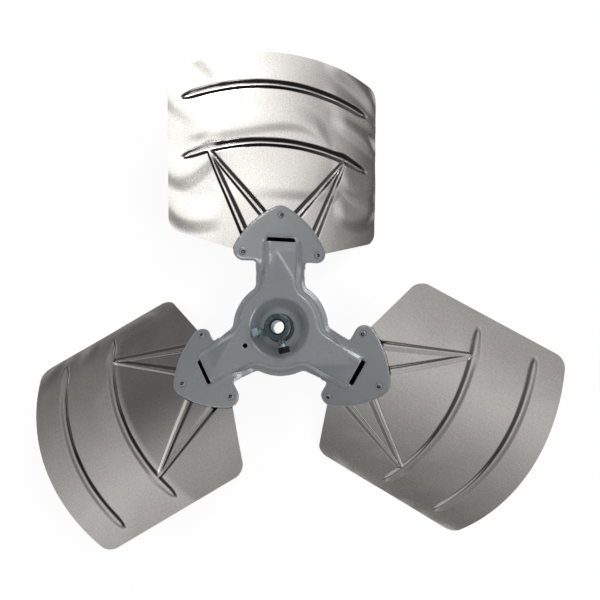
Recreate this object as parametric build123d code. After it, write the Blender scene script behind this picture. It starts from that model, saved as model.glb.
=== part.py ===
from build123d import *
import math
import os

# Axial fan impeller: three cambered, ribbed blades riveted to a pressed steel spider with a hub.
# Millimetres. The origin is on the bore axis, level with the underside of the spider's flange.
# +Z is the shaft axis towards the hub's set screws, and the first blade points along +Y.

# Fan
blade_count = 3
blade_pitch = 27.0
camber_radius = 483.0

# Blade sheet, in its own chart: across the chord, and out from the shaft axis
blade_sheet = 1.6
blade_half_chord = 113.0
blade_taper = 1.2
blade_tip_radius = 249.0
blade_tip_centre = 30.5
blade_tip_offset = 5.3
blade_root_slope = 21.2
blade_root_edge = 70.0
blade_root_left_reach = 96.1
blade_root_right_reach = 92.5
blade_corner = 15.0

# Stiffening grooves pressed into the blade, away from the hub side
rib_width = 9.0
rib_floor_width = 2.0
rib_depth = 2.0
rib_end_depth = 1.5
rib_runout = 8.0
rib_runout_share = 0.35
outer_rib_end = 95.0
outer_rib_end_reach = 228.0
outer_rib_crest = 246.5
inner_rib_end = 94.0
inner_rib_end_reach = 169.0
inner_rib_crest = 187.5
leg_apex_across = 75.0
leg_apex_reach = 176.7
leg_apex_width = 5.0
leg_apex_floor_width = 1.2
leg_apex_depth = 1.2
leg_root_width = 10.0
leg_root_floor_width = 2.5
leg_root_depth = 2.0
inner_leg_across = 15.0
inner_leg_reach = 111.0
outer_leg_across = 36.0
outer_leg_reach = 91.0

# Spider sheet
spider_sheet = 2.5
disc_radius = 48.0
plateau_height = 8.0
plateau_radius = 41.5
plateau_arm_half_width = 18.5
plateau_wall_slope = 29.0
plateau_corner = 16.0
arm_half_width = 23.5
arm_root_half_width = 27.3
arm_corner = 7.0
twist_start = 40.0
twist_end = 70.0
twist_sections = 6

# Dish in the middle of the spider
dish_rim_radius = 30.0
dish_floor_radius = 20.0
dish_floor_level = 0.4

# Paddle at the end of each arm, under which the blade is riveted
paddle_peak = 125.0
paddle_peak_radius = 15.0
paddle_side_across = 33.0
paddle_side_reach = 103.0
paddle_corner_across = 55.0
paddle_corner_radius = 10.5
paddle_base_reach = 66.5
paddle_base_radius = 3.0
paddle_arm_half_width = 26.0
paddle_arm_overlap = 6.0

# Tongue at the end of the plateau, and the slot that frees it
tongue_rise = 5.0
tongue_half_width = 18.1
tongue_wall_slope = 35.0
tongue_start = 78.0
crease_root = 46.0
slot_length = 31.0
slot_width = 4.4
slot_reach = 88.4

# Locating recess in the disc
recess_diameter = 4.5
recess_depth = 1.9
recess_reach = 38.6
recess_angle = 207.3

# Hub
bore_diameter = 12.7
bore_chamfer = 1.75
bore_back_chamfer = 0.9
hub_diameter = 26.0
hub_collar_diameter = 28.6
hub_collar_height = 2.5
hub_top = 30.0
hub_spigot_diameter = 20.0
hub_swage = 1.5
stake_count = 6
stake_start = 30.0
stake_reach = 11.3
stake_length = 2.8
stake_width = 1.6
stake_depth = 0.8

# Set screws
screw_diameter = 7.9
screw_neck_diameter = 6.2
screw_head_width = 8.0
screw_head_height = 6.0
screw_head_start = 20.0
screw_tip_gap = 0.6
screw_thread_end = 1.0
screw_head_edge = 0.5
screw_level = 19.0
screw_angles = (194.0, 284.0)

# Rivets
rivet_diameter = 4.0
rivet_head_diameter = 6.6
rivet_head_height = 1.3
rivet_back_diameter = 8.0
rivet_back_height = 1.4
rivet_edge = 0.8
rivet_side_across = 40.0
rivet_side_reach = 74.8
rivet_apex_reach = 113.5

# How far the trimming bodies reach past what they cut
far = 200.0
arm_ground_half = 56.0
ground_depth = 60.0
wall_root = 3.0
tongue_root = 12.0
groove_headroom = 3.0
flat_share = 0.02

os.makedirs("parts", exist_ok=True)

pitch = math.radians(blade_pitch)
blade_plane = Plane(origin=(0, 0, 0), x_dir=(math.cos(pitch), 0, -math.sin(pitch)),
                    z_dir=(math.sin(pitch), 0, math.cos(pitch)))


def around(shape):
    """The same shape on each arm of the fan."""
    return [Rot(0, 0, index * 360 / blade_count) * shape for index in range(blade_count)]


def camber_drop(across):
    """How far the cambered surface falls below its middle at a distance across the chord."""
    return camber_radius - math.sqrt(camber_radius ** 2 - across ** 2)


def cambered_core(offset):
    """The cylinder whose skin is the blade's cambered surface, moved out by offset."""
    axis = Plane(origin=(0, 0, -camber_radius), x_dir=(1, 0, 0), z_dir=(0, 1, 0))
    length = 2 * (blade_tip_centre + blade_tip_radius + blade_corner)
    return axis * Cylinder(camber_radius + offset, length)


def on_blade(across, reach, height=0.0):
    """A point over the cambered surface, in the blade's own frame."""
    return Vector(across, reach, height - camber_drop(across))


def groove_profile(width, floor_width, depth, sheet):
    """A groove's section below a flat face, as a trapezoid that grows with the sheet's thickness."""
    lean = math.atan2((width - floor_width) / 2, depth)
    shift = sheet / math.cos(lean)
    top = width / 2 + groove_headroom * math.tan(lean) + shift
    bottom = floor_width / 2 + shift - sheet * math.tan(lean)
    return [(-top, groove_headroom), (-bottom, -depth - sheet), (bottom, -depth - sheet),
            (top, groove_headroom)]


def section_on(plane, profile):
    """A flat face with the profile's corners on a plane."""
    points = [plane.from_local_coords(Vector(x, y, 0)) for x, y in profile]
    return make_face(Polyline(*points, close=True))


def arc_rib_tool(end, end_reach, crest, sheet):
    """A curved groove's tool: its section turned along the camber, with a runout at each end."""
    rise = rib_depth - rib_end_depth
    left = on_blade(-end, end_reach, rise)
    middle = on_blade(0, crest)
    right = on_blade(end, end_reach, rise)
    centre = ThreePointArc(left, middle, right).arc_center
    axis = Axis(centre, (right - centre).cross(left - centre))
    half_turn = (right - centre).get_angle(middle - centre)
    profile = groove_profile(rib_width, rib_floor_width, rib_depth, sheet)
    section = section_on(Plane(origin=middle, x_dir=(0, 1, 0), z_dir=(1, 0, 0)), profile)
    bar = revolve(section.rotate(axis, -half_turn), axis, 2 * half_turn)
    faded = [(x * rib_runout_share, max(y, -sheet)) for x, y in profile]
    for side in (-1, 1):
        tip = Plane(origin=middle + Vector(side * rib_runout, 0, 0), x_dir=(0, 1, 0), z_dir=(1, 0, 0))
        bar += loft([section, section_on(tip, faded)], ruled=True).rotate(axis, -side * half_turn)
    return bar


def leg_tool(side, root_across, root_reach, sheet):
    """A straight groove's tool, which narrows from the spider out to the curved groove."""
    root = on_blade(side * root_across, root_reach)
    apex = on_blade(side * leg_apex_across, leg_apex_reach)
    across = Vector(0, 0, 1).cross(apex - root)
    wide = groove_profile(leg_root_width, leg_root_floor_width, leg_root_depth, sheet)
    narrow = groove_profile(leg_apex_width, leg_apex_floor_width, leg_apex_depth, sheet)
    return loft([section_on(Plane(origin=root, x_dir=across, z_dir=apex - root), wide),
                 section_on(Plane(origin=apex, x_dir=across, z_dir=apex - root), narrow)], ruled=True)


def rib_tools(sheet):
    """Every groove of one blade, as bars that press the sheet down by its thickness."""
    tools = [arc_rib_tool(outer_rib_end, outer_rib_end_reach, outer_rib_crest, sheet),
             arc_rib_tool(inner_rib_end, inner_rib_end_reach, inner_rib_crest, sheet)]
    for side in (-1, 1):
        tools.append(leg_tool(side, inner_leg_across, inner_leg_reach, sheet))
        tools.append(leg_tool(side, outer_leg_across, outer_leg_reach, sheet))
    return tools


def blade_outline():
    """The flat blank of one blade, with rounded corners."""
    tip = blade_tip_centre + blade_tip_radius
    blank = Pos(blade_tip_offset, blade_tip_centre) * Circle(blade_tip_radius)
    wide = blade_half_chord + blade_taper
    narrow = blade_half_chord - blade_taper
    sides = Polygon((-wide, tip), (wide, tip), (narrow, blade_root_right_reach),
                    (blade_root_slope, blade_root_edge), (-blade_root_slope, blade_root_edge),
                    (-narrow, blade_root_left_reach), align=None)
    shape = blank & sides
    corners = [v for v in shape.vertices() if abs(v.X) > blade_half_chord - blade_corner]
    return fillet(corners, blade_corner)


def make_blade():
    """One cambered blade with its grooves and rivet holes, in its own frame."""
    shell = cambered_core(0) - cambered_core(-blade_sheet)
    for tool in rib_tools(blade_sheet):
        shell += tool
    shell &= cambered_core(0)
    for tool in rib_tools(0):
        shell -= tool
    shell &= extrude(blade_outline(), amount=far, both=True)
    for place in rivet_places():
        shell -= place * Cylinder(rivet_diameter / 2, tongue_root)
    return shell


def twist_at(reach):
    """The share of the full pitch that the arm has reached at a distance from the axis."""
    run = min(max((reach - twist_start) / (twist_end - twist_start), 0), 1)
    return run * run * (3 - 2 * run)


def flange_section(reach, skin):
    """The ground below the flange at one reach, turned and cambered as far as the arm has twisted."""
    share = max(twist_at(reach), flat_share)
    turn = pitch * share
    drop = camber_drop(arm_ground_half) * share
    plane = Plane(origin=(0, reach, 0), x_dir=(math.cos(turn), 0, -math.sin(turn)), z_dir=(0, -1, 0))
    top = ThreePointArc((-arm_ground_half, skin - drop), (0, skin), (arm_ground_half, skin - drop))
    sides = Polyline(top @ 1, (arm_ground_half, -ground_depth), (-arm_ground_half, -ground_depth), top @ 0)
    return plane * make_face([top, sides])


def arm_ground(skin):
    """The ground below one arm: twisting out of the disc, then straight under the paddle."""
    step = (twist_end - twist_start) / (twist_sections - 1)
    sections = [flange_section(twist_start + index * step, skin) for index in range(twist_sections)]
    paddle = extrude(sections[-1], amount=-(far - twist_end))
    return loft(sections) + paddle


def plateau_walls(skin):
    """The disc's raised part down to below the flange, with its sloping walls, cut square at the arms."""
    slope = math.radians(plateau_wall_slope)
    grow = skin / math.cos(slope) + wall_root * math.tan(slope)
    half = plateau_arm_half_width + grow
    outline = Circle(plateau_radius + grow)
    for arm in around(Pos(0, far / 2) * Rectangle(2 * half, far)):
        outline += arm
    corners = [v for v in outline.vertices() if v.center().length < far / 2]
    outline = fillet(corners, plateau_corner - grow)
    walls = extrude(Pos(0, 0, -wall_root) * outline, amount=wall_root + plateau_height + skin,
                    taper=plateau_wall_slope)
    keep = Rot(0, 0, 90 / blade_count) * RegularPolygon(crease_root, blade_count, major_radius=False)
    return walls & extrude(keep, amount=far, both=True)


def tongue_section(skin):
    """The raised strip's section where it follows the paddle, as points across and off the paddle."""
    slope = math.tan(math.radians(tongue_wall_slope))
    half = tongue_half_width + skin / math.cos(math.radians(tongue_wall_slope))
    top = tongue_rise + skin
    return [(-half - tongue_root * slope, -tongue_root), (-half + top * slope, top),
            (half - top * slope, top), (half + tongue_root * slope, -tongue_root)]


def tilted(across, height, reach):
    """A point given across and off the paddle's plane, in the fan's frame."""
    return blade_plane.from_local_coords(Vector(across, reach, height))


def strip_between(skin):
    """The raised strip from the disc out to the tongue, turning down to one side along a crease."""
    slope = math.tan(math.radians(plateau_wall_slope))
    lean = math.tan(math.radians(tongue_wall_slope))
    level = plateau_height + skin
    half = plateau_arm_half_width + skin / math.cos(math.radians(plateau_wall_slope))
    left_foot, left_top, right_top, right_foot = tongue_section(skin)
    crease = ((tongue_rise + skin) * math.cos(pitch) - level) / math.sin(pitch)
    foot = tongue_half_width + skin / math.cos(math.radians(tongue_wall_slope))
    rise = (level + foot * math.sin(pitch)) / (math.cos(pitch) + lean * math.sin(pitch))
    root = [Vector(-half - wall_root * slope, crease_root, -wall_root),
            Vector(-half + level * slope, crease_root, level),
            Vector(crease * math.cos(pitch), crease_root, level),
            Vector(half - level * slope, crease_root, level),
            Vector(half + wall_root * slope, crease_root, -wall_root)]
    turned = (tongue_rise + skin) * math.sin(pitch) + crease * math.cos(pitch)
    end = [tilted(*left_foot, tongue_start), tilted(*left_top, tongue_start),
           Vector(turned, tongue_start, level),
           tilted(foot - rise * lean, rise, tongue_start), tilted(*right_foot, tongue_start)]
    strip = loft([make_face(Polyline(*root, close=True)), make_face(Polyline(*end, close=True))],
                 ruled=True)
    facet = Plane(origin=end[2], x_dir=tilted(*right_top, tongue_start) - end[2],
                  z_dir=(tilted(*right_top, tongue_start) - end[2]).cross(root[3] - end[2]))
    if facet.z_dir.Z < 0:
        facet = -facet
    above = facet * Pos(0, 0, far / 2) * Box(far, far, far)
    return strip - above


def tongue(skin):
    """The last stretch of the raised strip, level with the paddle, up to the slot."""
    points = [tilted(*point, tongue_start) for point in tongue_section(skin)]
    length = slot_reach - slot_width / 2 - tongue_start
    return extrude(make_face(Polyline(*points, close=True)), amount=length, dir=(0, 1, 0))


def dish_void(skin):
    """What the dish takes out of the plateau."""
    lean = math.atan2(dish_rim_radius - dish_floor_radius, plateau_height - dish_floor_level)
    grow = (spider_sheet - skin) / math.cos(lean)
    level = plateau_height + skin
    floor = dish_floor_level + skin
    shift = (spider_sheet - skin) * math.tan(lean)
    rim = dish_rim_radius + grow - shift
    profile = Polyline((0, 0, floor), (dish_floor_radius + grow - shift, 0, floor), (rim, 0, level),
                       (rim, 0, far), (0, 0, far), close=True)
    return revolve(make_face(profile), Axis.Z)


def spider_ground(skin):
    """Everything below one face of the spider sheet: its underside, or its top a sheet higher."""
    flat = Circle(disc_radius)
    for cut in around(Pos(0, twist_start + far) * Rectangle(2 * far, 2 * far)):
        flat -= cut
    ground = extrude(Pos(0, 0, -ground_depth) * flat, amount=ground_depth + skin)
    for arm in around(arm_ground(skin)):
        ground += arm
    ground += plateau_walls(skin)
    for arm in around(strip_between(skin) + tongue(skin)):
        ground += arm
    return ground - dish_void(skin)


def paddle_outline():
    """The flat blank of a paddle: a rounded triangle with bowed sides, and the end of the arm."""
    corner = (paddle_corner_across, paddle_base_reach)
    right = ThreePointArc((0, paddle_peak), (paddle_side_across, paddle_side_reach), corner)
    left = ThreePointArc((-corner[0], corner[1]), (-paddle_side_across, paddle_side_reach),
                         (0, paddle_peak))
    shape = make_face([right, Line(right @ 1, left @ 0), left])
    shape += Pos(0, paddle_base_reach) * Rectangle(2 * paddle_arm_half_width, 2 * paddle_arm_overlap)
    shape = fillet(shape.vertices().sort_by(Axis.Y)[-1:], paddle_peak_radius)
    lobes = [v for v in shape.vertices() if abs(v.X) > paddle_side_across]
    shape = fillet(lobes, paddle_corner_radius)
    near_arm = [v for v in shape.vertices() if abs(abs(v.X) - paddle_arm_half_width) < paddle_base_radius]
    inner = [v for v in near_arm if abs(v.Y - paddle_base_reach) < paddle_base_radius]
    return fillet(inner, paddle_base_radius)


def spider_outline():
    """The blank that the spider sheet is cut to, as a prism on the disc and one on each paddle."""
    arm = Polygon((-arm_root_half_width, 0), (arm_root_half_width, 0),
                  (arm_half_width, paddle_base_reach), (-arm_half_width, paddle_base_reach), align=None)
    disc = Circle(disc_radius)
    for limb in around(arm):
        disc += limb
    waists = [v for v in disc.vertices() if v.center().length < paddle_base_reach]
    blank = extrude(fillet(waists, arm_corner), amount=far / 2, both=True)
    for paddle in around(blade_plane * extrude(paddle_outline(), amount=far / 2, both=True)):
        blank += paddle
    return blank


def rivet_places():
    """Where one blade's rivets stand, in the blade's own frame, square to the cambered sheet."""
    spots = [(-rivet_side_across, rivet_side_reach), (0, rivet_apex_reach),
             (rivet_side_across, rivet_side_reach)]
    centre = Vector(0, 0, -camber_radius)
    places = []
    for across, reach in spots:
        seat = on_blade(across, reach)
        places.append(Plane(origin=seat, z_dir=seat - Vector(0, reach, centre.Z)))
    return places


def slot_tool():
    """The slot at the end of the tongue, as a tool square to the paddle."""
    slot = Pos(0, slot_reach) * SlotOverall(slot_length, slot_width)
    return blade_plane * extrude(slot, amount=tongue_root, both=True)


def make_spider():
    """The pressed spider: disc, dish, arms and paddles in one sheet."""
    sheet = spider_ground(spider_sheet) & spider_outline()
    sheet -= spider_ground(0)
    for tool in around(slot_tool()):
        sheet -= tool
    for place in rivet_places():
        for hole in around(blade_plane * (place * Cylinder(rivet_diameter / 2, tongue_root))):
            sheet -= hole
    sheet -= Cylinder(hub_spigot_diameter / 2, far)
    recess = Rot(0, 0, recess_angle) * Pos(recess_reach, 0, plateau_height + spider_sheet)
    return sheet - recess * Cylinder(recess_diameter / 2, 2 * recess_depth)


def make_rivet():
    """A rivet set through the blade and the paddle, standing on the blade's top face."""
    seat_gap = camber_drop(rivet_back_diameter / 2)
    back = -blade_sheet - rivet_back_height
    top = spider_sheet + rivet_head_height
    seat = -blade_sheet - seat_gap
    profile = Polyline((0, 0, back), (rivet_back_diameter / 2, 0, back), (rivet_back_diameter / 2, 0, seat),
                       (rivet_diameter / 2, 0, seat), (rivet_diameter / 2, 0, spider_sheet),
                       (rivet_head_diameter / 2, 0, spider_sheet),
                       (rivet_head_diameter / 2 - rivet_edge, 0, top), (0, 0, top), close=True)
    return revolve(make_face(profile), Axis.Z)


def make_hub():
    """The turned hub: a spigot swaged through the dish floor, a collar on it, and the body."""
    floor = dish_floor_level + spider_sheet
    under = dish_floor_level - hub_swage
    collar_top = floor + hub_collar_height
    bore = bore_diameter / 2
    spigot = hub_spigot_diameter / 2
    profile = Polyline((bore + bore_back_chamfer, 0, under), (spigot + hub_swage, 0, under),
                       (spigot + hub_swage, 0, dish_floor_level), (spigot, 0, dish_floor_level),
                       (spigot, 0, floor), (hub_collar_diameter / 2, 0, floor),
                       (hub_collar_diameter / 2, 0, collar_top), (hub_diameter / 2, 0, collar_top),
                       (hub_diameter / 2, 0, hub_top), (bore + bore_chamfer, 0, hub_top),
                       (bore, 0, hub_top - bore_chamfer), (bore, 0, under + bore_back_chamfer), close=True)
    hub = revolve(make_face(profile), Axis.Z)
    for angle in screw_angles:
        hole = Rot(0, 0, angle) * Pos(hub_diameter / 2, 0, screw_level) * Rot(0, 90, 0)
        hub -= hole * Cylinder(screw_diameter / 2, hub_diameter)
    for index in range(stake_count):
        place = Rot(0, 0, stake_start + index * 360 / stake_count) * Pos(stake_reach, 0, hub_top)
        hub -= place * Box(stake_width, stake_length, 2 * stake_depth)
    return hub


def make_screw():
    """A square-head set screw along +X, its tip just short of the bore."""
    tip = bore_diameter / 2 + screw_tip_gap
    shoulder = hub_diameter / 2
    profile = Polyline((tip, 0, 0), (tip, 0, screw_diameter / 2 - screw_thread_end),
                       (tip + screw_thread_end, 0, screw_diameter / 2), (shoulder, 0, screw_diameter / 2),
                       (shoulder + screw_thread_end, 0, screw_neck_diameter / 2),
                       (screw_head_start, 0, screw_neck_diameter / 2), (screw_head_start, 0, 0), close=True)
    shank = revolve(make_face(profile), Axis.X)
    head = Box(screw_head_height, screw_head_width, screw_head_width)
    head = Pos(screw_head_start + screw_head_height / 2, 0, 0) * head
    rim = head.faces().sort_by(Axis.X)[-1].edges()
    return shank + chamfer(rim, screw_head_edge)


blade = blade_plane * make_blade()
rivets = [blade_plane * (place * make_rivet()) for place in rivet_places()]
for index in range(blade_count):
    turn = Rot(0, 0, index * 360 / blade_count)
    export_step(turn * blade, f"parts/blade_{index + 1}.step")
    export_step(Compound([turn * rivet for rivet in rivets]), f"parts/blade_{index + 1}_rivets.step")
export_step(make_spider(), "parts/spider.step")
export_step(make_hub(), "parts/hub.step")
screws = [Pos(0, 0, screw_level) * Rot(0, 0, angle) * make_screw() for angle in screw_angles]
export_step(Compound(screws), "parts/set_screws.step")
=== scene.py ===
import math
import bmesh
import bpy
import numpy as np
from mathutils import Matrix, Vector
from mathutils.bvhtree import BVHTree


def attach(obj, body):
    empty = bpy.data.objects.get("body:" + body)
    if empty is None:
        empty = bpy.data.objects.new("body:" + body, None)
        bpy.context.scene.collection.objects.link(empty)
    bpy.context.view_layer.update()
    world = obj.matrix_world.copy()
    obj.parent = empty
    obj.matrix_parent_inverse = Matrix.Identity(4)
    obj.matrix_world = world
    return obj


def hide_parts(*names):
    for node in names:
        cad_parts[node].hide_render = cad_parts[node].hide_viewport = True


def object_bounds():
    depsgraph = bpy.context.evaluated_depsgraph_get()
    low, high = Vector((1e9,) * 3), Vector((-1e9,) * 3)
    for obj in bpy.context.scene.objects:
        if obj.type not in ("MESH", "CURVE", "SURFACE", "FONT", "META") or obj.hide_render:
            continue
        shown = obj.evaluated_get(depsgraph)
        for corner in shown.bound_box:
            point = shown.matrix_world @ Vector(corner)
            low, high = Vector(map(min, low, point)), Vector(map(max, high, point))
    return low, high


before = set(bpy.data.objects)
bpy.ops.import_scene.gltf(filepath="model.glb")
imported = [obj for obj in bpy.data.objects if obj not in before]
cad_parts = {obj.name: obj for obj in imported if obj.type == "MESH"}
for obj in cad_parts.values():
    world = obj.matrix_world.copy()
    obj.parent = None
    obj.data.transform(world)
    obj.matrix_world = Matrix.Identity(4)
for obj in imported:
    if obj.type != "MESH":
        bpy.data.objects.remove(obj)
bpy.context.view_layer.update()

scene = bpy.context.scene
print("frame loaded:", len(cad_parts), "nodes")


# shader helpers

class Wire:  # a socket whose arithmetic adds Math nodes
    def __init__(self, finish, socket):
        self.finish, self.socket = finish, socket

    def __add__(self, other):
        return self.finish.maths("ADD", self, other)

    def __radd__(self, other):
        return self.finish.maths("ADD", other, self)

    def __sub__(self, other):
        return self.finish.maths("SUBTRACT", self, other)

    def __rsub__(self, other):
        return self.finish.maths("SUBTRACT", other, self)

    def __mul__(self, other):
        return self.finish.maths("MULTIPLY", self, other)

    def __rmul__(self, other):
        return self.finish.maths("MULTIPLY", other, self)


class Finish:  # a material or world whose nodes all come from add
    def __init__(self, owner):
        owner.use_nodes = True
        self.owner, self.tree = owner, owner.node_tree
        self.tree.nodes.clear()

    def add(self, kind, settings=None, sockets=None, out=0):
        node = self.tree.nodes.new(kind)
        for name, value in (settings or {}).items():
            if name == "stops":
                while len(node.color_ramp.elements) < len(value):
                    node.color_ramp.elements.new(1.0)
                for element, (place, colour) in zip(node.color_ramp.elements, value):
                    element.position, element.color = place, colour
            else:
                setattr(node, name, value)
        for name, value in (sockets or {}).items():
            if isinstance(value, Wire):
                self.tree.links.new(value.socket, node.inputs[name])
            else:
                node.inputs[name].default_value = value
        return Wire(self, node.outputs[out]) if node.outputs else node

    def maths(self, operation, *values):
        return self.add("ShaderNodeMath", {"operation": operation}, dict(enumerate(values)))

    def blend(self, share, low, high):  # two colours, from low at 0 to high at 1
        return self.add("ShaderNodeMix", {"data_type": "RGBA"}, {0: share, 6: low, 7: high}, 2)

    def fade(self, value, start, end, first=0.0, last=1.0, **settings):  # first at start, last at end
        return self.add("ShaderNodeMapRange", settings, {"Value": value, 1: start, 2: end, 3: first, 4: last})

    def noise(self, where, scale, detail, roughness=0.5):
        return self.add("ShaderNodeTexNoise", {}, {"Vector": where, "Scale": scale, "Detail": detail,
                                                   "Roughness": roughness})

    def split(self, vector):  # its x, y and z
        node = self.add("ShaderNodeSeparateXYZ", {}, {"Vector": vector}).socket.node
        return [Wire(self, output) for output in node.outputs]


def tone(red, green, blue):  # a colour as it is seen on a screen, 0 to 255
    return tuple((v / 255 / 12.92 if v <= 10 else ((v / 255 + 0.055) / 1.055) ** 2.4)
                 for v in (red, green, blue)) + (1.0,)


# helpers that make, cut and finish pieces

def linked(name, data):
    # an object of this data, put into the scene
    piece = bpy.data.objects.new(name, data)
    scene.collection.objects.link(piece)
    return piece


def fromBmesh(name, bm):
    mesh = bpy.data.meshes.new(name)
    bm.to_mesh(mesh)
    bm.free()
    return linked(name, mesh)


def bodyOf(name, points, faces, stand):
    # a loose body from points in millimetres, moved to where it stands
    mesh = bpy.data.meshes.new(name)
    mesh.from_pydata([Vector(p) / 1000 for p in points], [], faces)
    mesh.transform(stand)
    return linked(name, mesh)


def turned(profile, sides):
    # points and faces of a profile of (radius, height) turned about its axis
    points, rings = [], []
    for radius, height in profile:
        if radius == 0:
            rings.append([len(points)] * sides)
            points.append((0, 0, height))
        else:
            rings.append(list(range(len(points), len(points) + sides)))
            points += [(radius * math.cos(a), radius * math.sin(a), height)
                       for a in (2 * math.pi * i / sides for i in range(sides))]
    closed = profile[0][0] > 0
    pairs = list(zip(rings, rings[1:])) + ([(rings[-1], rings[0])] if closed else [])
    faces = []
    for low, high in pairs:
        for i in range(sides):
            j = (i + 1) % sides
            faces.append(tuple(dict.fromkeys((low[i], low[j], high[j], high[i]))))
    return points, faces


def joined(name, parts):
    bm = bmesh.new()
    for part in parts:
        bm.from_mesh(part.data)
        bpy.data.objects.remove(part)
    return fromBmesh(name, bm)


def applied(piece):
    # works the piece's modifiers into its mesh
    graph = bpy.context.evaluated_depsgraph_get()
    mesh = bpy.data.meshes.new_from_object(piece.evaluated_get(graph))
    piece.modifiers.clear()
    old, piece.data = piece.data, mesh
    bpy.data.meshes.remove(old)


def cut(piece, tools):
    # takes the tools out of the piece
    for tool in tools:
        hole = piece.modifiers.new("hole", "BOOLEAN")
        hole.operation, hole.solver, hole.object = "DIFFERENCE", "EXACT", tool
    applied(piece)
    for tool in tools:
        bpy.data.objects.remove(tool)


def settle(piece, finishes, node, sharp):
    # gives a piece its finishes, and the place of its node in the frame
    if piece.data.materials:
        piece.data.materials.clear()
    for finish in finishes:
        piece.data.materials.append(finish)
    piece.data.shade_smooth()
    piece.data.set_sharp_from_angle(angle=math.radians(sharp))
    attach(piece, "root")
    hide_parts(node)
    return piece


def triangles(piece):
    return sum(len(face.vertices) - 2 for face in piece.data.polygons)


# blade sheet metal; lengths are millimetres in the blade's own chart

# the darkest grey below is painted shade for the grooves, not the sheet's own colour
metal = {"colour": tone(224, 220, 215), "dull": tone(190, 187, 183), "tarnish": tone(52, 51, 51),
         # the near-black colour below is painted shade for the strip under the spider's slot
         "slotShade": tone(6, 6, 7), "roughness": 0.19, "roughSpread": 0.08, "slotShadeRough": 0.6,
         "grainAcross": 2.2, "grainAlong": 0.05, "blotch": 0.018, "speckle": 0.55,
         "grainShare": 0.35, "blotchShare": 0.2, "speckleShare": 0.45, "contrast": 2.8,
         "bump": 0.06, "bumpDepth": 0.0002, "shift": (37.0, 51.0), "slotReach": 88.4, "slotHalf": (16.0, 3.6)}


def bladeFinish(turn):
    m = Finish(bpy.data.materials.new(f"blade_metal_{turn + 1}"))
    place = m.add("ShaderNodeUVMap", {"uv_map": "UVMap"})
    shift = (metal["shift"][0] * turn, metal["shift"][1] * turn, 0.0)  # no two blades are marked alike
    chart = m.add("ShaderNodeMapping", {}, {"Vector": place, "Location": shift})
    stretch = (metal["grainAcross"], metal["grainAlong"], 1.0)  # fine rolling lines run out from the hub
    lines = m.add("ShaderNodeMapping", {}, {"Vector": chart, "Scale": stretch})
    grain = m.noise(lines, 1.0, 4.0, 0.6)
    cloud = m.noise(chart, metal["blotch"], 3.0)
    fleck = m.noise(chart, metal["speckle"], 2.0)
    mixed = grain * metal["grainShare"] + cloud * metal["blotchShare"] + fleck * metal["speckleShare"]
    colour = m.blend((mixed - 0.5) * metal["contrast"] + 0.5, metal["dull"], metal["colour"])
    # painted shade: the groove walls, and on one blade the inner part and one edge, are darkened by a
    # per-point level
    paintedShadeLevel = m.add("ShaderNodeAttribute", {"attribute_name": "tarnish"}, {}, "Fac")
    colour = m.blend(paintedShadeLevel, colour, metal["tarnish"])
    # painted shade: the strip that is seen through the spider's slot is painted near black, standing in for
    # the shadow under the paddle
    across, reach = m.split(place)[:2]
    wide, deep = metal["slotHalf"]
    past = m.maths("MAXIMUM", m.maths("ABSOLUTE", across) - wide,
                   m.maths("ABSOLUTE", reach - metal["slotReach"]) - deep)
    slotShade = m.fade(past, 0.0, 1.0, 1.0, 0.0)
    colour = m.blend(slotShade, colour, metal["slotShade"])
    spread = (grain - 0.5) * metal["roughSpread"] + (cloud - 0.5) * metal["roughSpread"]
    rough = metal["roughness"] + spread + slotShade * metal["slotShadeRough"]
    bump = m.add("ShaderNodeBump", {}, {"Strength": metal["bump"], "Distance": metal["bumpDepth"],
                                        "Height": grain + fleck})
    skin = m.add("ShaderNodeBsdfPrincipled", {}, {"Base Color": colour, "Roughness": rough, "Normal": bump,
                                                  "Metallic": 1.0})
    m.add("ShaderNodeOutputMaterial", {}, {"Surface": skin})
    return m.owner


# blades: one sheet in its own chart, x across the chord and q out from the shaft

blade = {"count": 3, "pitch": 27.0, "camber": 483.0, "sheet": 1.6, "halfChord": 113.0,
         "taper": 0.01297, "taperMiddle": 186.8, "tipRadius": 249.0, "tipCentre": 30.5,
         "tipOffset": 5.3, "rootReach": 70.0, "rootHalf": 21.2, "rootLeft": 96.1, "rootRight": 92.5,
         "tipCorner": 9.4, "rootCorner": 10.5, "cornerShare": 0.92, "fine": 0.65, "fineHalf": 86.0,
         "edgeColumns": 15, "zoneReach": 178.0, "spareRows": 19, "bandReaches": (196.0, 239.0, 254.0),
         "bandRows": (23, 23, 19, 15), "sharp": 35, "backChart": 600}
grooves = {"ribs": [(95.0, 228.0, 246.5, 0.0), (94.0, 169.0, 187.5, 2.6)],  # end, its reach, crest, bulge
           "ribWidth": 10.0, "ribFloor": 1.0, "ribDepth": 2.0, "ribEndDepth": 1.5, "runout": 8.0,
           "taperLength": 12.0, "taperSpread": 1.6, "tipShare": 0.3, "bulgeAt": 74.0, "bulgeLength": 9.0,
           "legs": [(15.0, 111.0), (36.0, 91.0)], "legApex": (75.0, 176.7), "legWidth": (11.4, 5.6),
           "legFloor": (1.8, 0.9), "legDepth": (2.0, 1.2), "legLead": 9.0, "legRise": 8.0, "legFall": 4.0,
           "softness": 0.24, "union": 5}
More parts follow.
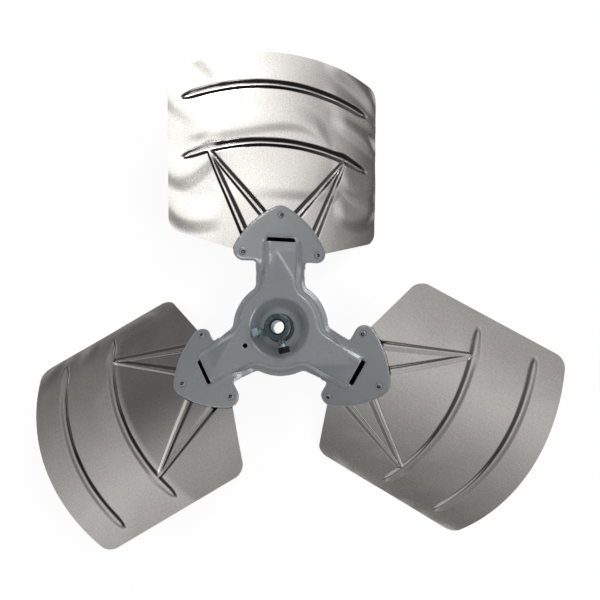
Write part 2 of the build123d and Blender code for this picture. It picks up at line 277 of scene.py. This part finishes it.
waves = {"height": 0.85, "share": (1.0, 0.2, 0.22), "back": 3.2, "ends": 22.0, "overrun": 6.0,
         "ripple": 0.4, "rippleLengths": (21, 17, 34, 23), "ripplePhases": (1.3, 0.4, 2.1),
         "clearAcross": 58.0, "clearReach": 128.0, "clearOver": 16.0,
         "folds": [([(-104, 276), (-86, 262), (-66, 246)], 10.0, 1.2),  # line, half width, height
                   ([(56, 270), (88, 251), (116, 226)], 9.0, 1.3),
                   ([(-92, 186), (-60, 191), (-40, 195), (-6, 202), (12, 205), (30, 201), (50, 190)],
                    6.2, 0.8),
                   ([(-118, 222), (-97, 206), (-74, 200)], 8.0, 0.75),
                   ([(56, 232), (88, 222), (116, 206)], 7.0, 0.9),
                   ([(66, 209), (89, 199), (112, 184)], 7.0, 1.1),
                   ([(-118, 150), (-100, 140), (-84, 148), (-66, 166)], 9.0, 1.1),
                   ([(-112, 110), (-86, 98), (-60, 101), (-36, 92)], 8.0, 1.1),
                   ([(68, 150), (90, 136), (116, 144)], 9.0, 1.1),
                   ([(54, 122), (83, 108), (112, 120)], 8.0, 1.1),
                   ([(-50, 132), (0, 120), (50, 128)], 14.0, 0.35)]}
# painted shade: how dark each blade's groove walls, and one blade's inner part and edge, are painted
tarnish = {"walls": ((0.97, 0.97), (0.93, 0.05), (0.5, 0.12)),  # each groove's hub side and tip side
           "slope": 0.10, "slopeOver": 0.20, "facing": 2.0, "leastStep": 0.3,
           "shadedBlade": 1, "shadeInside": 4.0, "shadeInsideOver": 8.0, "dull": 0.3, "middle": 0.34, "middleAt": 2.0,
           "middleWidth": 52.0, "edge": 0.6, "edgeFrom": 78.0, "edgeOver": 34.0}


def smoothStep(v):
    v = np.clip(v, 0, 1)
    return v * v * (3 - 2 * v)


def wall(run):
    # a groove's side: 1 on its floor, 0 at its shoulder, straight between two soft bends
    t, soft = np.clip(run, 0, 1), grooves["softness"]
    bend = 2 * soft * (1 - soft)
    straight = 1 - (t - soft / 2) / (1 - soft)
    return np.where(t < soft, 1 - t ** 2 / bend, np.where(t > 1 - soft, (1 - t) ** 2 / bend, straight))


def tipLine(x):
    return blade["tipCentre"] + np.sqrt(blade["tipRadius"] ** 2 - (x - blade["tipOffset"]) ** 2)


def rootLine(x):
    run = np.clip((np.abs(x) - blade["rootHalf"]) / (blade["halfChord"] - blade["rootHalf"]), 0, 1)
    edge = np.where(x > 0, blade["rootRight"], blade["rootLeft"])
    return blade["rootReach"] + run * (edge - blade["rootReach"])


def ribRadius(end, endReach, crest):  # of the arc through a rib's crest and its two ends
    rise = crest - endReach
    return (end ** 2 + rise ** 2) / (2 * rise)


def ribDepth(x, q, end, endReach, crest, bulge):
    radius = ribRadius(end, endReach, crest)
    off = np.hypot(x, q - crest + radius) - radius
    past = (np.abs(np.arctan2(x, q - crest + radius)) - math.asin(end / radius)) * radius
    fade = 1 - smoothStep(past / grooves["runout"])
    taper = grooves["taperLength"]
    full = smoothStep((taper - past) / grooves["taperSpread"] / taper)
    width = grooves["ribWidth"] * (grooves["tipShare"] + (1 - grooves["tipShare"]) * full)
    depth = grooves["ribDepth"] - (grooves["ribDepth"] - grooves["ribEndDepth"]) * (x / end) ** 2
    near = (np.abs(x) - grooves["bulgeAt"]) / grooves["bulgeLength"]
    wide = bulge * np.exp(-near ** 2) * (off > 0)
    run = (np.abs(off) - grooves["ribFloor"] / 2) / ((width - grooves["ribFloor"]) / 2 + wide)
    return depth * fade * wall(run)


def legDepth(x, q, side, across, reach):
    start = np.array((side * across, reach))
    way = np.array((side * grooves["legApex"][0], grooves["legApex"][1])) - start
    length = np.linalg.norm(way)
    way /= length
    along = ((x - start[0]) * way[0] + (q - start[1]) * way[1]) / length
    off = np.abs((x - start[0]) * way[1] - (q - start[1]) * way[0])
    share = np.clip(along, 0, 1)
    width, floor, depth = (root + (apex - root) * share
                           for root, apex in (grooves["legWidth"], grooves["legFloor"], grooves["legDepth"]))
    rising = smoothStep((along * length + grooves["legLead"]) / grooves["legRise"])
    falling = 1 - smoothStep((along - 1) * length / grooves["legFall"])
    run = (off - floor / 2) / ((width - floor) / 2)
    return depth * (rising * falling) * wall(run)


def grooveDepth(x, q):
    # rolled ribs and pressed legs, run into each other softly
    total = np.zeros_like(x)
    for rib in grooves["ribs"]:
        total += ribDepth(x, q, *rib) ** grooves["union"]
    for leg in grooves["legs"]:
        for side in (-1, 1):
            total += legDepth(x, q, side, *leg) ** grooves["union"]
    return total ** (1 / grooves["union"])


def waviness(x, q, turn):
    # shallow folds that pressing leaves in thin sheet: a short rise and a long fall, clear of the rivets
    length, phase = waves["rippleLengths"], waves["ripplePhases"]
    ripple = (np.sin(x / length[0] + phase[0] + turn) * np.sin(q / length[1] + phase[1] * turn)
              + np.sin(x / length[2] - q / length[3] + phase[2] * turn))
    lift = waves["height"] * waves["ripple"] * ripple
    for line, wide, high in waves["folds"]:
        a, b = np.array(line).T
        degree = min(len(a) - 1, 4)
        held = np.clip(x, a[0] - waves["overrun"], a[-1] + waves["overrun"])
        run = (q - np.polyval(np.polyfit(a, b, degree), held)) / wide
        shape = smoothStep((run + 1) / 2) * (1 - smoothStep((run - 1) / waves["back"]))
        inside = smoothStep((x - a[0]) / waves["ends"] + 0.5) * smoothStep((a[-1] - x) / waves["ends"] + 0.5)
        lift = lift + high * shape * inside
    clear = np.maximum(smoothStep((np.abs(x) - waves["clearAcross"]) / waves["clearOver"]),
                       smoothStep((q - waves["clearReach"]) / waves["clearOver"]))
    return lift * clear * waves["share"][turn]


def bladeGrid():
    # the sheet's chart as rows and columns, finest where the grooves are, with its corners drawn in to arcs
    half, flat = blade["halfChord"], blade["fineHalf"]
    edge = np.linspace(flat, half, blade["edgeColumns"])[1:]
    across = np.concatenate([-edge[::-1], np.linspace(-flat, flat, 2 * int(flat / blade["fine"]) + 1), edge])
    stops = (blade["zoneReach"], *blade["bandReaches"], tipLine(0.0))
    outer = np.concatenate([np.linspace(low, high, count)[1:]
                            for low, high, count in zip(stops, stops[1:], blade["bandRows"])])
    pairs = int((blade["zoneReach"] - blade["rootLeft"]) / blade["fine"] / 2)
    inner = np.linspace(0, 1, 2 * pairs + blade["spareRows"])
    rows = len(inner) + len(outer)
    x = np.tile(across, (rows, 1))
    drop = tipLine(0.0) - tipLine(across)
    low = rootLine(across)
    q = np.concatenate([low + inner[:, None] * (blade["zoneReach"] - drop - low), outer[:, None] - drop])
    x = x * (1 + blade["taper"] * (q - blade["taperMiddle"]) / half)
    steps = np.hypot(np.diff(x, axis=0), np.diff(q, axis=0))
    fromRoot = np.concatenate([np.zeros((1, len(across))), np.cumsum(steps, axis=0)])
    fromTip = fromRoot[-1] - fromRoot
    inX, inQ = np.zeros_like(x), np.zeros_like(q)
    slope = np.gradient(q, axis=1) / np.gradient(x, axis=1)
    fromSide = half - np.abs(np.tile(across, (rows, 1)))
    least = 1e-9  # nothing is divided by zero
    for reach, size, way in ((fromTip, blade["tipCorner"], -1), (fromRoot, blade["rootCorner"], 1)):
        wide = size * blade["cornerShare"]
        a, b = 1 - fromSide / wide, 1 - reach / size
        near = (a > 0) & (b > 0)
        pull = np.where(near, 1 - np.maximum(a, b) / np.hypot(np.maximum(a, least), np.maximum(b, least)), 0)
        dx = -np.sign(x) * pull * a * wide
        inX += np.where(near, dx, 0)
        inQ += np.where(near, dx * slope + way * pull * b * size, 0)
    return x + inX, q + inQ


def paintedShadeOver(x, q, depth, turn):
    # painted shade: the sides of a groove are painted darker than the open sheet, standing in for the dark
    # room they reflect
    t = tarnish
    fall = np.gradient(depth, axis=0) / np.maximum(np.gradient(q, axis=0), t["leastStep"])
    steep = np.hypot(fall, np.gradient(depth, axis=1) / np.gradient(x, axis=1))
    hubSide, tipSide = t["walls"][turn]
    facing = smoothStep(0.5 + fall * t["facing"])
    level = (tipSide + (hubSide - tipSide) * facing) * smoothStep((steep - t["slope"]) / t["slopeOver"])
    if turn == t["shadedBlade"]:  # painted shade: darker inside the inner rib, and along one edge
        end, endReach, crest = grooves["ribs"][1][:3]
        radius = ribRadius(end, endReach, crest)
        within = smoothStep((radius - t["shadeInside"] - np.hypot(x, q - crest + radius)) / t["shadeInsideOver"])
        middle = np.exp(-((x - t["middleAt"]) / t["middleWidth"]) ** 2)
        level = np.maximum(level, within * (t["dull"] + t["middle"] * middle))
        level = np.maximum(level, t["edge"] * smoothStep((x - t["edgeFrom"]) / t["edgeOver"]))
    return level


def bladeMesh(turn):
    x, q = bladeGrid()
    sag = blade["camber"] - np.sqrt(blade["camber"] ** 2 - x ** 2)
    depth = grooveDepth(x, q)
    skin = np.stack([x, q, -sag], -1)
    normal = np.stack([x, np.zeros_like(x), blade["camber"] - sag], -1) / blade["camber"]
    top = skin + normal * (waviness(x, q, turn) - depth)[..., None]
    bottom = top - normal * blade["sheet"]
    points = np.concatenate([top.reshape(-1, 3), bottom.reshape(-1, 3)])
    chart = np.stack([x, q], -1).reshape(-1, 2)
    chart = np.concatenate([chart, chart + (0, blade["backChart"])])
    level = paintedShadeOver(x, q, depth, turn)
    level = np.concatenate([level.ravel(), np.zeros(level.size)])
    index = np.arange(x.size).reshape(x.shape)
    quads = np.stack([index[:-1, :-1], index[:-1, 1:], index[1:, 1:], index[1:, :-1]], -1).reshape(-1, 4)
    back = index[::2, ::2] + x.size  # the back has half the rows and columns
    under = np.stack([back[:-1, :-1], back[1:, :-1], back[1:, 1:], back[:-1, 1:]], -1).reshape(-1, 4)
    loop = np.concatenate([index[0, :], index[1:, -1], index[-1, -2::-1], index[-2:0:-1, 0]])
    first, between, last = loop[::2], loop[1::2], np.roll(loop, -2)[::2]
    rim = np.stack([first + x.size, last + x.size, last, between, first], -1)
    return points, [*quads.tolist(), *under.tolist(), *rim.tolist()], chart, level


def onArm(points, turn):
    # from the blade's own chart to its arm of the fan, in metres
    lean = Matrix.Rotation(math.radians(blade["pitch"]), 3, "Y")
    spin = np.array(Matrix.Rotation(math.radians(360 / blade["count"] * turn), 3, "Z") @ lean)
    return points @ spin.T / 1000


def bladeSheet(turn):
    points, faces, chart, level = bladeMesh(turn)
    name = f"blade_{turn + 1}"
    mesh = bpy.data.meshes.new(f"{name}_sheet")
    mesh.from_pydata(onArm(points, turn), [], faces)
    layer = mesh.uv_layers.new(name="UVMap")
    corner = np.zeros(len(mesh.loops), np.int32)
    mesh.loops.foreach_get("vertex_index", corner)
    layer.data.foreach_set("uv", chart.astype(np.float32)[corner].ravel())
    mesh.attributes.new("tarnish", "FLOAT", "POINT").data.foreach_set("value", level.astype(np.float32))
    piece = linked(f"{name}_sheet", mesh)
    return settle(piece, [bladeFinish(turn)], name, blade["sharp"])


blades = [bladeSheet(turn) for turn in range(blade["count"])]
print("blades done:", triangles(blades[0]), "triangles each")


# spider: the pressed sheet with soft bends and a coat of paint; lengths are metres

# the pale tone and the bend level below paint a highlight along the bends
paint = {"colour": tone(104, 108, 110), "cloud": tone(111, 115, 117), "sheenTone": tone(158, 162, 165),
         "bendSheen": 0.75, "bendSheenFrom": 0.012, "bendSheenFull": 0.042, "roughness": 0.27, "roughSpread": 0.08,
         "peel": 900.0, "cloudScale": 45.0, "bump": 0.12, "bumpDepth": 0.0002, "ior": 1.7,
         # the near-black colour below is painted shade for the small recess
         "coat": 0.3, "coatRoughness": 0.18, "recessShade": tone(8, 8, 9), "darkRough": 0.6,
         "darkRadii": (0.0023, 0.0025), "darkLevel": 0.0057}
spider = {"voxel": 0.00087, "bendRounds": 37, "rimRounds": 3, "smoothing": 0.5, "weld": 1e-6,
          "probe": 0.0002, "rimThickness": 0.0045, "sharp": 60, "recess": (-0.0343, -0.0177),
          "plug": (2.4, 5.7, 8.0), "hollow": (2.25, 6.1, 9.0), "sides": 48}  # radius, low and high, in mm


def paintFinish():
    m = Finish(bpy.data.materials.new("spider_paint"))
    where = m.add("ShaderNodeTexCoord", {}, {}, "Object")
    peel = m.noise(where, paint["peel"], 2.0)
    cloud = m.noise(where, paint["cloudScale"], 3.0)
    colour = m.blend(cloud, paint["colour"], paint["cloud"])
    # painted highlight: every bend is painted paler, standing in for the sheen of the lamps along it
    edge = m.add("ShaderNodeNewGeometry", {}, {}, "Pointiness")
    bendSheen = m.fade(m.maths("ABSOLUTE", edge - 0.5), paint["bendSheenFrom"], paint["bendSheenFull"])
    colour = m.blend(bendSheen * paint["bendSheen"], colour, paint["sheenTone"])
    # painted shade: the small recess is painted black inside, standing in for the shadow seen through a hole
    x, y, z = m.split(where)
    aside, ahead = x - spider["recess"][0], y - spider["recess"][1]
    off = m.maths("SQRT", aside * aside + ahead * ahead)
    hollow = m.fade(off, *paint["darkRadii"], 1.0, 0.0) * m.maths("GREATER_THAN", z, paint["darkLevel"])
    colour = m.blend(hollow, colour, paint["recessShade"])
    bump = m.add("ShaderNodeBump", {}, {"Strength": paint["bump"], "Distance": paint["bumpDepth"],
                                        "Height": peel})
    rough = paint["roughness"] + (cloud - 0.5) * paint["roughSpread"] + hollow * paint["darkRough"]
    skin = m.add("ShaderNodeBsdfPrincipled", {}, {"Base Color": colour, "Roughness": rough, "Normal": bump,
                                                  "IOR": paint["ior"], "Metallic": hollow,
                                                  "Coat Weight": (1 - hollow) * paint["coat"],
                                                  "Coat Roughness": paint["coatRoughness"]})
    m.add("ShaderNodeOutputMaterial", {}, {"Surface": skin})
    return m.owner


def spiderSheet():
    # the recess's floor is thinner than a voxel, so it is filled for the remesh and cut again after it
    stand = Matrix.Translation((*spider["recess"], 0))
    plug, hollow = (bodyOf("recess", *turned([(0, low), (radius, low), (radius, high), (0, high)],
                                             spider["sides"]), stand)
                    for radius, low, high in (spider["plug"], spider["hollow"]))
    solid = bmesh.new()
    solid.from_mesh(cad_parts["spider"].data)
    bmesh.ops.remove_doubles(solid, verts=solid.verts, dist=spider["weld"])
    piece = joined("spider_sheet", [fromBmesh("spider", solid), plug])
    remesh = piece.modifiers.new("even", "REMESH")
    remesh.mode, remesh.voxel_size = "VOXEL", spider["voxel"]
    applied(piece)
    mesh = piece.data
    tree = BVHTree.FromPolygons([v.co for v in mesh.vertices], [p.vertices for p in mesh.polygons])
    inside = []
    for v in mesh.vertices:  # a cut edge is where the sheet has no near face behind it
        hit = tree.ray_cast(v.co - v.normal * spider["probe"], -v.normal, spider["rimThickness"])
        if hit[0] is not None:
            inside.append(v.index)
    piece.vertex_groups.new(name="bend").add(inside, 1.0, "REPLACE")
    for group, rounds in (("bend", spider["bendRounds"]), ("", spider["rimRounds"])):
        soft = piece.modifiers.new("soft", "SMOOTH")
        soft.factor, soft.iterations, soft.vertex_group = spider["smoothing"], rounds, group
    cut(piece, [hollow])
    return settle(piece, [paintFinish()], "spider", spider["sharp"])


print("spider done:", triangles(spiderSheet()), "triangles")


# turned and headed pieces; lengths are millimetres

# bright, dull, roughness and metallic of each
plating = {"hub_zinc": (tone(104, 120, 127), tone(20, 28, 32), 0.32, 0.9),
           "screw_zinc": (tone(178, 196, 200), tone(110, 128, 132), 0.26, 1.0),
           # the second, darker copy of the screw plating is painted shade
           "screw_zinc_painted_dark": (tone(30, 33, 34), tone(16, 18, 19), 0.4, 0.6),
           "rivet_metal": (tone(126, 129, 132), tone(112, 115, 118), 0.38, 0.15),
           "rivet_stem": (tone(205, 208, 210), tone(150, 152, 154), 0.25, 1.0),
           # the rivets' hollows are painted near black as shade
           "rivet_hollow_painted_shade": (tone(14, 14, 15), tone(9, 9, 10), 0.6, 0.0)}
plate = {"cloudScale": 260.0, "fineScale": 2500.0, "roughSpread": 0.15, "bump": 0.15, "bumpDepth": 0.0001,
         "sharp": 32}


def platedFinish(name):
    bright, dull, roughness, metallic = plating[name]
    m = Finish(bpy.data.materials.new(name))
    where = m.add("ShaderNodeTexCoord", {}, {}, "Object")
    cloud = m.noise(where, plate["cloudScale"], 4.0)
    fine = m.noise(where, plate["fineScale"], 2.0)
    colour = m.blend(cloud, dull, bright)
    bump = m.add("ShaderNodeBump", {}, {"Strength": plate["bump"], "Distance": plate["bumpDepth"],
                                        "Height": fine})
    rough = roughness + (cloud - 0.5) * plate["roughSpread"]
    skin = m.add("ShaderNodeBsdfPrincipled", {}, {"Base Color": colour, "Roughness": rough, "Normal": bump,
                                                  "Metallic": metallic})
    m.add("ShaderNodeOutputMaterial", {}, {"Surface": skin})
    return m.owner


hub = {"bore": 6.35, "radius": 13.0, "collar": 14.3, "spigot": 10.0, "swage": 11.5, "under": -1.1,
       "sheet": 0.4, "floor": 2.9, "collarTop": 5.4, "collarStep": 0.3, "top": 30.0, "chamfer": 1.75,
       "backChamfer": 0.9, "edge": 0.5, "edgeBreak": 0.15, "sides": 96, "stakes": 6, "stakeStart": 30,
       "stakeReach": 11.3, "stakeSize": (1.6, 2.8, 1.6), "stakeFlare": 0.12, "hole": 3.95, "holeLength": 20.0,
       "holeSides": 40, "level": 19.0}
screws = {"angles": (194.0, 284.0), "rolls": (14.0, 38.0), "radius": 3.95, "tip": 6.95, "tipShare": 0.76,
          "tipLength": 1.0, "pitch": 1.27, "threadDepth": 0.62, "threadShape": 1.4, "neck": 3.1,
          "neckStart": 16.6, "neckLength": 1.2, "headStart": 20.0, "headHeight": 6.0, "headWidth": 8.0,
          "sunk": 0.4, "edge": 0.55, "edgeSteps": 3, "edgeRound": 0.6, "around": 40, "steps": 78}
rivets = {"places": [(-40.0, 74.8), (0.0, 113.5), (40.0, 74.8)], "shank": 2.0, "head": 3.3, "headHeight": 1.3,
          # the head's crown: how far in from its side, and up from the paddle
          "crown": [(0, 0), (0, 0.35), (0.25, 0.7), (0.8, 1.08), (1.4, 1.3)],
          "back": 4.0, "backHeight": 1.4, "backEdge": 0.5, "hollow": 1.7, "hollowDepth": 1.5, "lip": 0.15,
          "stem": 0.7, "stemTip": 0.45, "stemEdge": 0.7, "stemTop": 0.4, "stemSunk": 0.2, "sheet": 1.6,
          "paddle": 2.5, "gap": 0.0166, "sides": 32, "stemSides": 20}


def along(angle, level, roll=0.0):
    # a frame whose axis runs out from the shaft at an angle
    turn = Matrix.Rotation(math.radians(angle), 4, "Z") @ Matrix.Rotation(math.radians(90), 4, "Y")
    return Matrix.Translation((0, 0, level / 1000)) @ turn @ Matrix.Rotation(math.radians(roll), 4, "Z")


def stakeTool(number):
    # a small wedge that marks the hub's near face
    wide, long, deep = hub["stakeSize"]
    corners = [(hub["stakeReach"] + a * wide / 2, b * long / 2 * (1 + hub["stakeFlare"] * a), hub["top"] + c)
               for a in (-1, 1) for b in (-1, 1) for c in (-deep / 2, deep / 2)]
    sides = [(0, 1, 3, 2), (4, 6, 7, 5), (0, 4, 5, 1), (2, 3, 7, 6), (0, 2, 6, 4), (1, 5, 7, 3)]
    angle = hub["stakeStart"] + 360 / hub["stakes"] * number
    return bodyOf("stake", corners, sides, Matrix.Rotation(math.radians(angle), 4, "Z"))


def hubPiece():
    h, e, small = hub, hub["edge"], hub["edgeBreak"]
    profile = [(h["bore"] + h["backChamfer"], h["under"]), (h["swage"] - e, h["under"]),
               (h["swage"], h["under"] + e), (h["swage"], h["sheet"]), (h["spigot"], h["sheet"]),
               (h["spigot"], h["floor"]), (h["collar"], h["floor"]), (h["collar"], h["collarTop"] - e),
               (h["collar"] - e, h["collarTop"]), (h["radius"] + small, h["collarTop"]),
               (h["radius"], h["collarTop"] + h["collarStep"]), (h["radius"], h["top"] - e),
               (h["radius"] - small, h["top"] - small), (h["radius"] - e, h["top"]),
               (h["bore"] + h["chamfer"], h["top"]), (h["bore"], h["top"] - h["chamfer"]),
               (h["bore"], h["under"] + h["backChamfer"])]
    piece = bodyOf("hub_body", *turned(profile, h["sides"]), Matrix())
    rod = [(0, 0), (h["hole"], 0), (h["hole"], h["holeLength"]), (0, h["holeLength"])]
    tools = [bodyOf("rod", *turned(rod, h["holeSides"]), along(angle, h["level"]))
             for angle in screws["angles"]]
    tools += [stakeTool(number) for number in range(h["stakes"])]
    cut(piece, tools)
    settle(piece, [platedFinish("hub_zinc")], "hub", plate["sharp"])


def screwShank(stand):
    # a threaded shank with a plain neck, along its own axis
    s, around, steps = screws, screws["around"], screws["steps"]
    low, high = s["tip"], s["headStart"] + s["sunk"]
    points = []
    for i in range(steps + 1):
        height = low + (high - low) * i / steps
        taper = s["tipShare"] + (1 - s["tipShare"]) * min(1.0, (height - low) / s["tipLength"])
        plain = max(0.0, min(1.0, (height - s["neckStart"]) / s["neckLength"]))
        for j in range(around):
            phase = (height / s["pitch"] - j / around) % 1
            radius = (s["radius"] - s["threadDepth"] * abs(2 * phase - 1) ** s["threadShape"]) * taper
            radius = radius + (s["neck"] - radius) * plain
            a = 2 * math.pi * j / around
            points.append((radius * math.cos(a), radius * math.sin(a), height))
    faces = []
    for i in range(0, steps * around, around):
        for j in range(around):
            k = (j + 1) % around
            faces.append((i + j, i + k, i + around + k, i + around + j))
    faces.append(tuple(range(around))[::-1])
    faces.append(tuple(steps * around + j for j in range(around)))
    return bodyOf("shank", points, faces, stand)


def screwHead(stand, finish):
    # a square head with softened edges; finish is the number of its material
    s = screws
    bm = bmesh.new()
    size = Matrix.Diagonal((s["headWidth"], s["headWidth"], s["headHeight"], 1.0))
    lift = Matrix.Translation((0, 0, s["headStart"] + s["headHeight"] / 2))
    bmesh.ops.create_cube(bm, size=1.0, matrix=lift @ size)
    bmesh.ops.bevel(bm, geom=bm.edges[:], offset=s["edge"], segments=s["edgeSteps"],
                    profile=s["edgeRound"], affect="EDGES")
    bm.transform(stand @ Matrix.Diagonal((0.001, 0.001, 0.001, 1.0)))
    head = fromBmesh("head", bm)
    for face in head.data.polygons:
        face.material_index = finish
    return head


def screwPair():
    parts = []
    for i, (angle, roll) in enumerate(zip(screws["angles"], screws["rolls"])):
        stand = along(angle, hub["level"], roll)
        parts += [screwShank(stand), screwHead(stand, i)]
    # the second screw's head is painted dark, standing in for the dark it reflects
    finishes = [platedFinish("screw_zinc"), platedFinish("screw_zinc_painted_dark")]
    settle(joined("set_screw_pair", parts), finishes, "set_screws", plate["sharp"])


def rivetStand(turn, across, reach):
    # stands on the blade's top face at one rivet, square to the curved sheet
    seat = Vector((across, reach, -blade["camber"] + math.sqrt(blade["camber"] ** 2 - across ** 2)))
    up = (seat - Vector((0, reach, -blade["camber"]))).normalized()
    stand = Matrix.Translation(seat / 1000) @ up.to_track_quat("Z", "Y").to_matrix().to_4x4()
    lean = Matrix.Rotation(math.radians(blade["pitch"]), 4, "Y")
    return Matrix.Rotation(math.radians(360 / blade["count"] * turn), 4, "Z") @ lean @ stand


def rivetPiece(turn, finishes):
    r = rivets
    back, seat, top = -r["sheet"] - r["backHeight"], -r["sheet"] - r["gap"], r["paddle"] + r["headHeight"]
    outside = [(0, back), (r["back"] - r["backEdge"], back), (r["back"], back + r["backEdge"]),
               (r["back"], seat), (r["shank"], seat), (r["shank"], r["paddle"])]
    outside += [(r["head"] - inward, r["paddle"] + up) for inward, up in r["crown"]]
    floor = top - r["hollowDepth"]
    inside = [(r["hollow"] + r["lip"], top), (r["hollow"], top - r["lip"]), (r["hollow"], floor), (0, floor)]
    foot = floor - r["stemSunk"]
    stem = [(0, foot), (r["stem"], foot), (r["stem"], top - r["stemEdge"]),
            (r["stemTip"], top - r["stemTip"]), (0, top - r["stemTop"])]
    parts = []
    for across, reach in r["places"]:
        stand = rivetStand(turn, across, reach)
        body = bodyOf("rivet", *turned(outside + inside, r["sides"]), stand)
        for face in body.data.polygons:
            # faces inside the hollow take the near-black painted shade
            face.material_index = 2 if face.index // r["sides"] >= len(outside) else 0
        core = bodyOf("stem", *turned(stem, r["stemSides"]), stand)
        for face in core.data.polygons:
            face.material_index = 1
        parts += [body, core]
    name = f"blade_{turn + 1}"
    settle(joined(f"{name}_rivet_set", parts), finishes, f"{name}_rivets", plate["sharp"])


hubPiece()
screwPair()
rivetFinishes = [platedFinish(name) for name in ("rivet_metal", "rivet_stem", "rivet_hollow_painted_shade")]
for turn in range(blade["count"]):
    rivetPiece(turn, rivetFinishes)
print("hub, screws and rivets done")


# floor, light and camera

studio = {"floor": tone(250, 250, 250), "floorGlow": 0.9, "floorSize": 0.75,
          "sky": [(0.0, 0.11), (0.10, 0.18), (0.22, 0.25), (0.36, 0.32), (0.50, 0.41), (0.66, 0.60),
                  (0.74, 0.74), (0.80, 0.68), (0.88, 0.53), (1.0, 0.50)],
          "strip": [(0.0, 0.007), (0.08, 0.03), (0.20, 0.10), (0.29, 0.20), (0.41, 0.36), (0.51, 0.54),
                    (0.64, 0.78), (0.76, 0.97), (0.84, 1.0), (1.0, 1.0)],
          "stripPower": 1.68, "stripSide": 0.34, "stripFull": 0.10, "stripEnd": 0.42,
          "stripFront": (0.0, 0.2), "skyEdge": (-0.20, 0.25), "skyFar": 0.5, "lampReach": 1.9,
          "lamps": {"keyBack": {"turn": 60, "rise": 45, "power": 7.6, "size": 0.45, "mirrored": True},
                    "keyLeft": {"turn": 198, "rise": 62, "power": 7.6, "size": 0.5, "mirrored": False},
                    "keyFront": {"turn": 338, "rise": 58, "power": 7.6, "size": 0.5, "mirrored": True},
                    "fill": {"turn": 15, "rise": 70, "power": 6.0, "size": 1.4, "mirrored": False}}}
view = {"lens": 56.34, "sensor": 36.0, "shift": (0.0325, 0.0470), "clip": (0.05, 20),
        "lean": (-0.0467, -0.1050), "distance": 0.939}
white = (1.0, 1.0, 1.0, 1.0)


def addFloor():
    m = Finish(bpy.data.materials.new("floor"))
    seen, glossy, through = (m.add("ShaderNodeLightPath", {}, {}, f"Is {kind} Ray")
                             for kind in ("Camera", "Glossy", "Transmission"))
    matt = m.add("ShaderNodeBsdfDiffuse", {}, {"Color": studio["floor"]})
    glow = m.add("ShaderNodeEmission", {}, {"Color": white, "Strength": 1.0})
    share = (seen + glossy + through) * studio["floorGlow"]
    both = m.add("ShaderNodeMixShader", {}, {0: share, 1: matt, 2: glow})
    m.add("ShaderNodeOutputMaterial", {}, {"Surface": both})
    low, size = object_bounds()[0].z, studio["floorSize"]
    mesh = bpy.data.meshes.new("floor")
    mesh.from_pydata([(-size, -size, low), (size, -size, low), (size, size, low), (-size, size, low)], [],
                     [(0, 1, 2, 3)])
    mesh.materials.append(m.owner)
    linked("floor", mesh)


def addSky():
    # a plain grey room with one long white strip light beside the fan
    world = bpy.data.worlds.new("studio")
    scene.world = world
    m = Finish(world)
    side, across, height = m.split(m.add("ShaderNodeTexCoord", {}, {}, "Generated"))
    room, strip = (m.add("ShaderNodeValToRGB", {"stops": [(place, (level, level, level, 1))
                                                          for place, level in studio[name]]}, {"Fac": height})
                   for name in ("sky", "strip"))
    soft = {"interpolation_type": "SMOOTHSTEP"}
    dim = m.fade(side, *studio["skyEdge"], 1.0, studio["skyFar"], **soft)
    off = m.maths("ABSOLUTE", across - studio["stripSide"])
    lit = m.fade(off, studio["stripFull"], studio["stripEnd"], 1.0, 0.0, **soft)
    front = m.fade(side, *studio["stripFront"], **soft)
    grey = m.add("ShaderNodeBackground", {}, {"Color": room, "Strength": dim})
    light = m.add("ShaderNodeBackground", {}, {"Color": strip, "Strength": studio["stripPower"]})
    both = m.add("ShaderNodeMixShader", {}, {0: lit * front, 1: grey, 2: light})
    backdrop = m.add("ShaderNodeBackground", {}, {"Color": white, "Strength": 1.0})
    seen = m.add("ShaderNodeLightPath", {}, {}, "Is Camera Ray")
    whole = m.add("ShaderNodeMixShader", {}, {0: seen, 1: both, 2: backdrop})
    m.add("ShaderNodeOutputWorld", {}, {"Surface": whole})


def addLamp(name, facts):
    lamp = bpy.data.lights.new(name, "AREA")
    lamp.shape, lamp.size, lamp.energy = "SQUARE", facts["size"], facts["power"]
    piece = linked(name, lamp)
    piece.visible_glossy = facts["mirrored"]
    turn, rise = math.radians(facts["turn"]), math.radians(facts["rise"])
    way = Vector((math.cos(turn) * math.cos(rise), math.sin(turn) * math.cos(rise), math.sin(rise)))
    piece.location = way * studio["lampReach"]
    piece.rotation_euler = way.to_track_quat("Z", "Y").to_euler()


def addCamera():
    data = bpy.data.cameras.new("camera")
    data.lens, data.sensor_width = view["lens"], view["sensor"]
    data.shift_x, data.shift_y = view["shift"]
    data.clip_start, data.clip_end = view["clip"]
    camera = linked("camera", data)
    leanX, leanY = view["lean"]
    lean = (Matrix.Rotation(leanX, 3, "X") @ Matrix.Rotation(leanY, 3, "Y")).transposed()
    camera.matrix_world = Matrix.Translation(lean @ Vector((0, 0, view["distance"]))) @ lean.to_4x4()
    scene.camera = camera


addFloor()
addSky()
for name, facts in studio["lamps"].items():
    addLamp(name, facts)
addCamera()
scene.view_settings.view_transform = "Standard"
print("studio done")
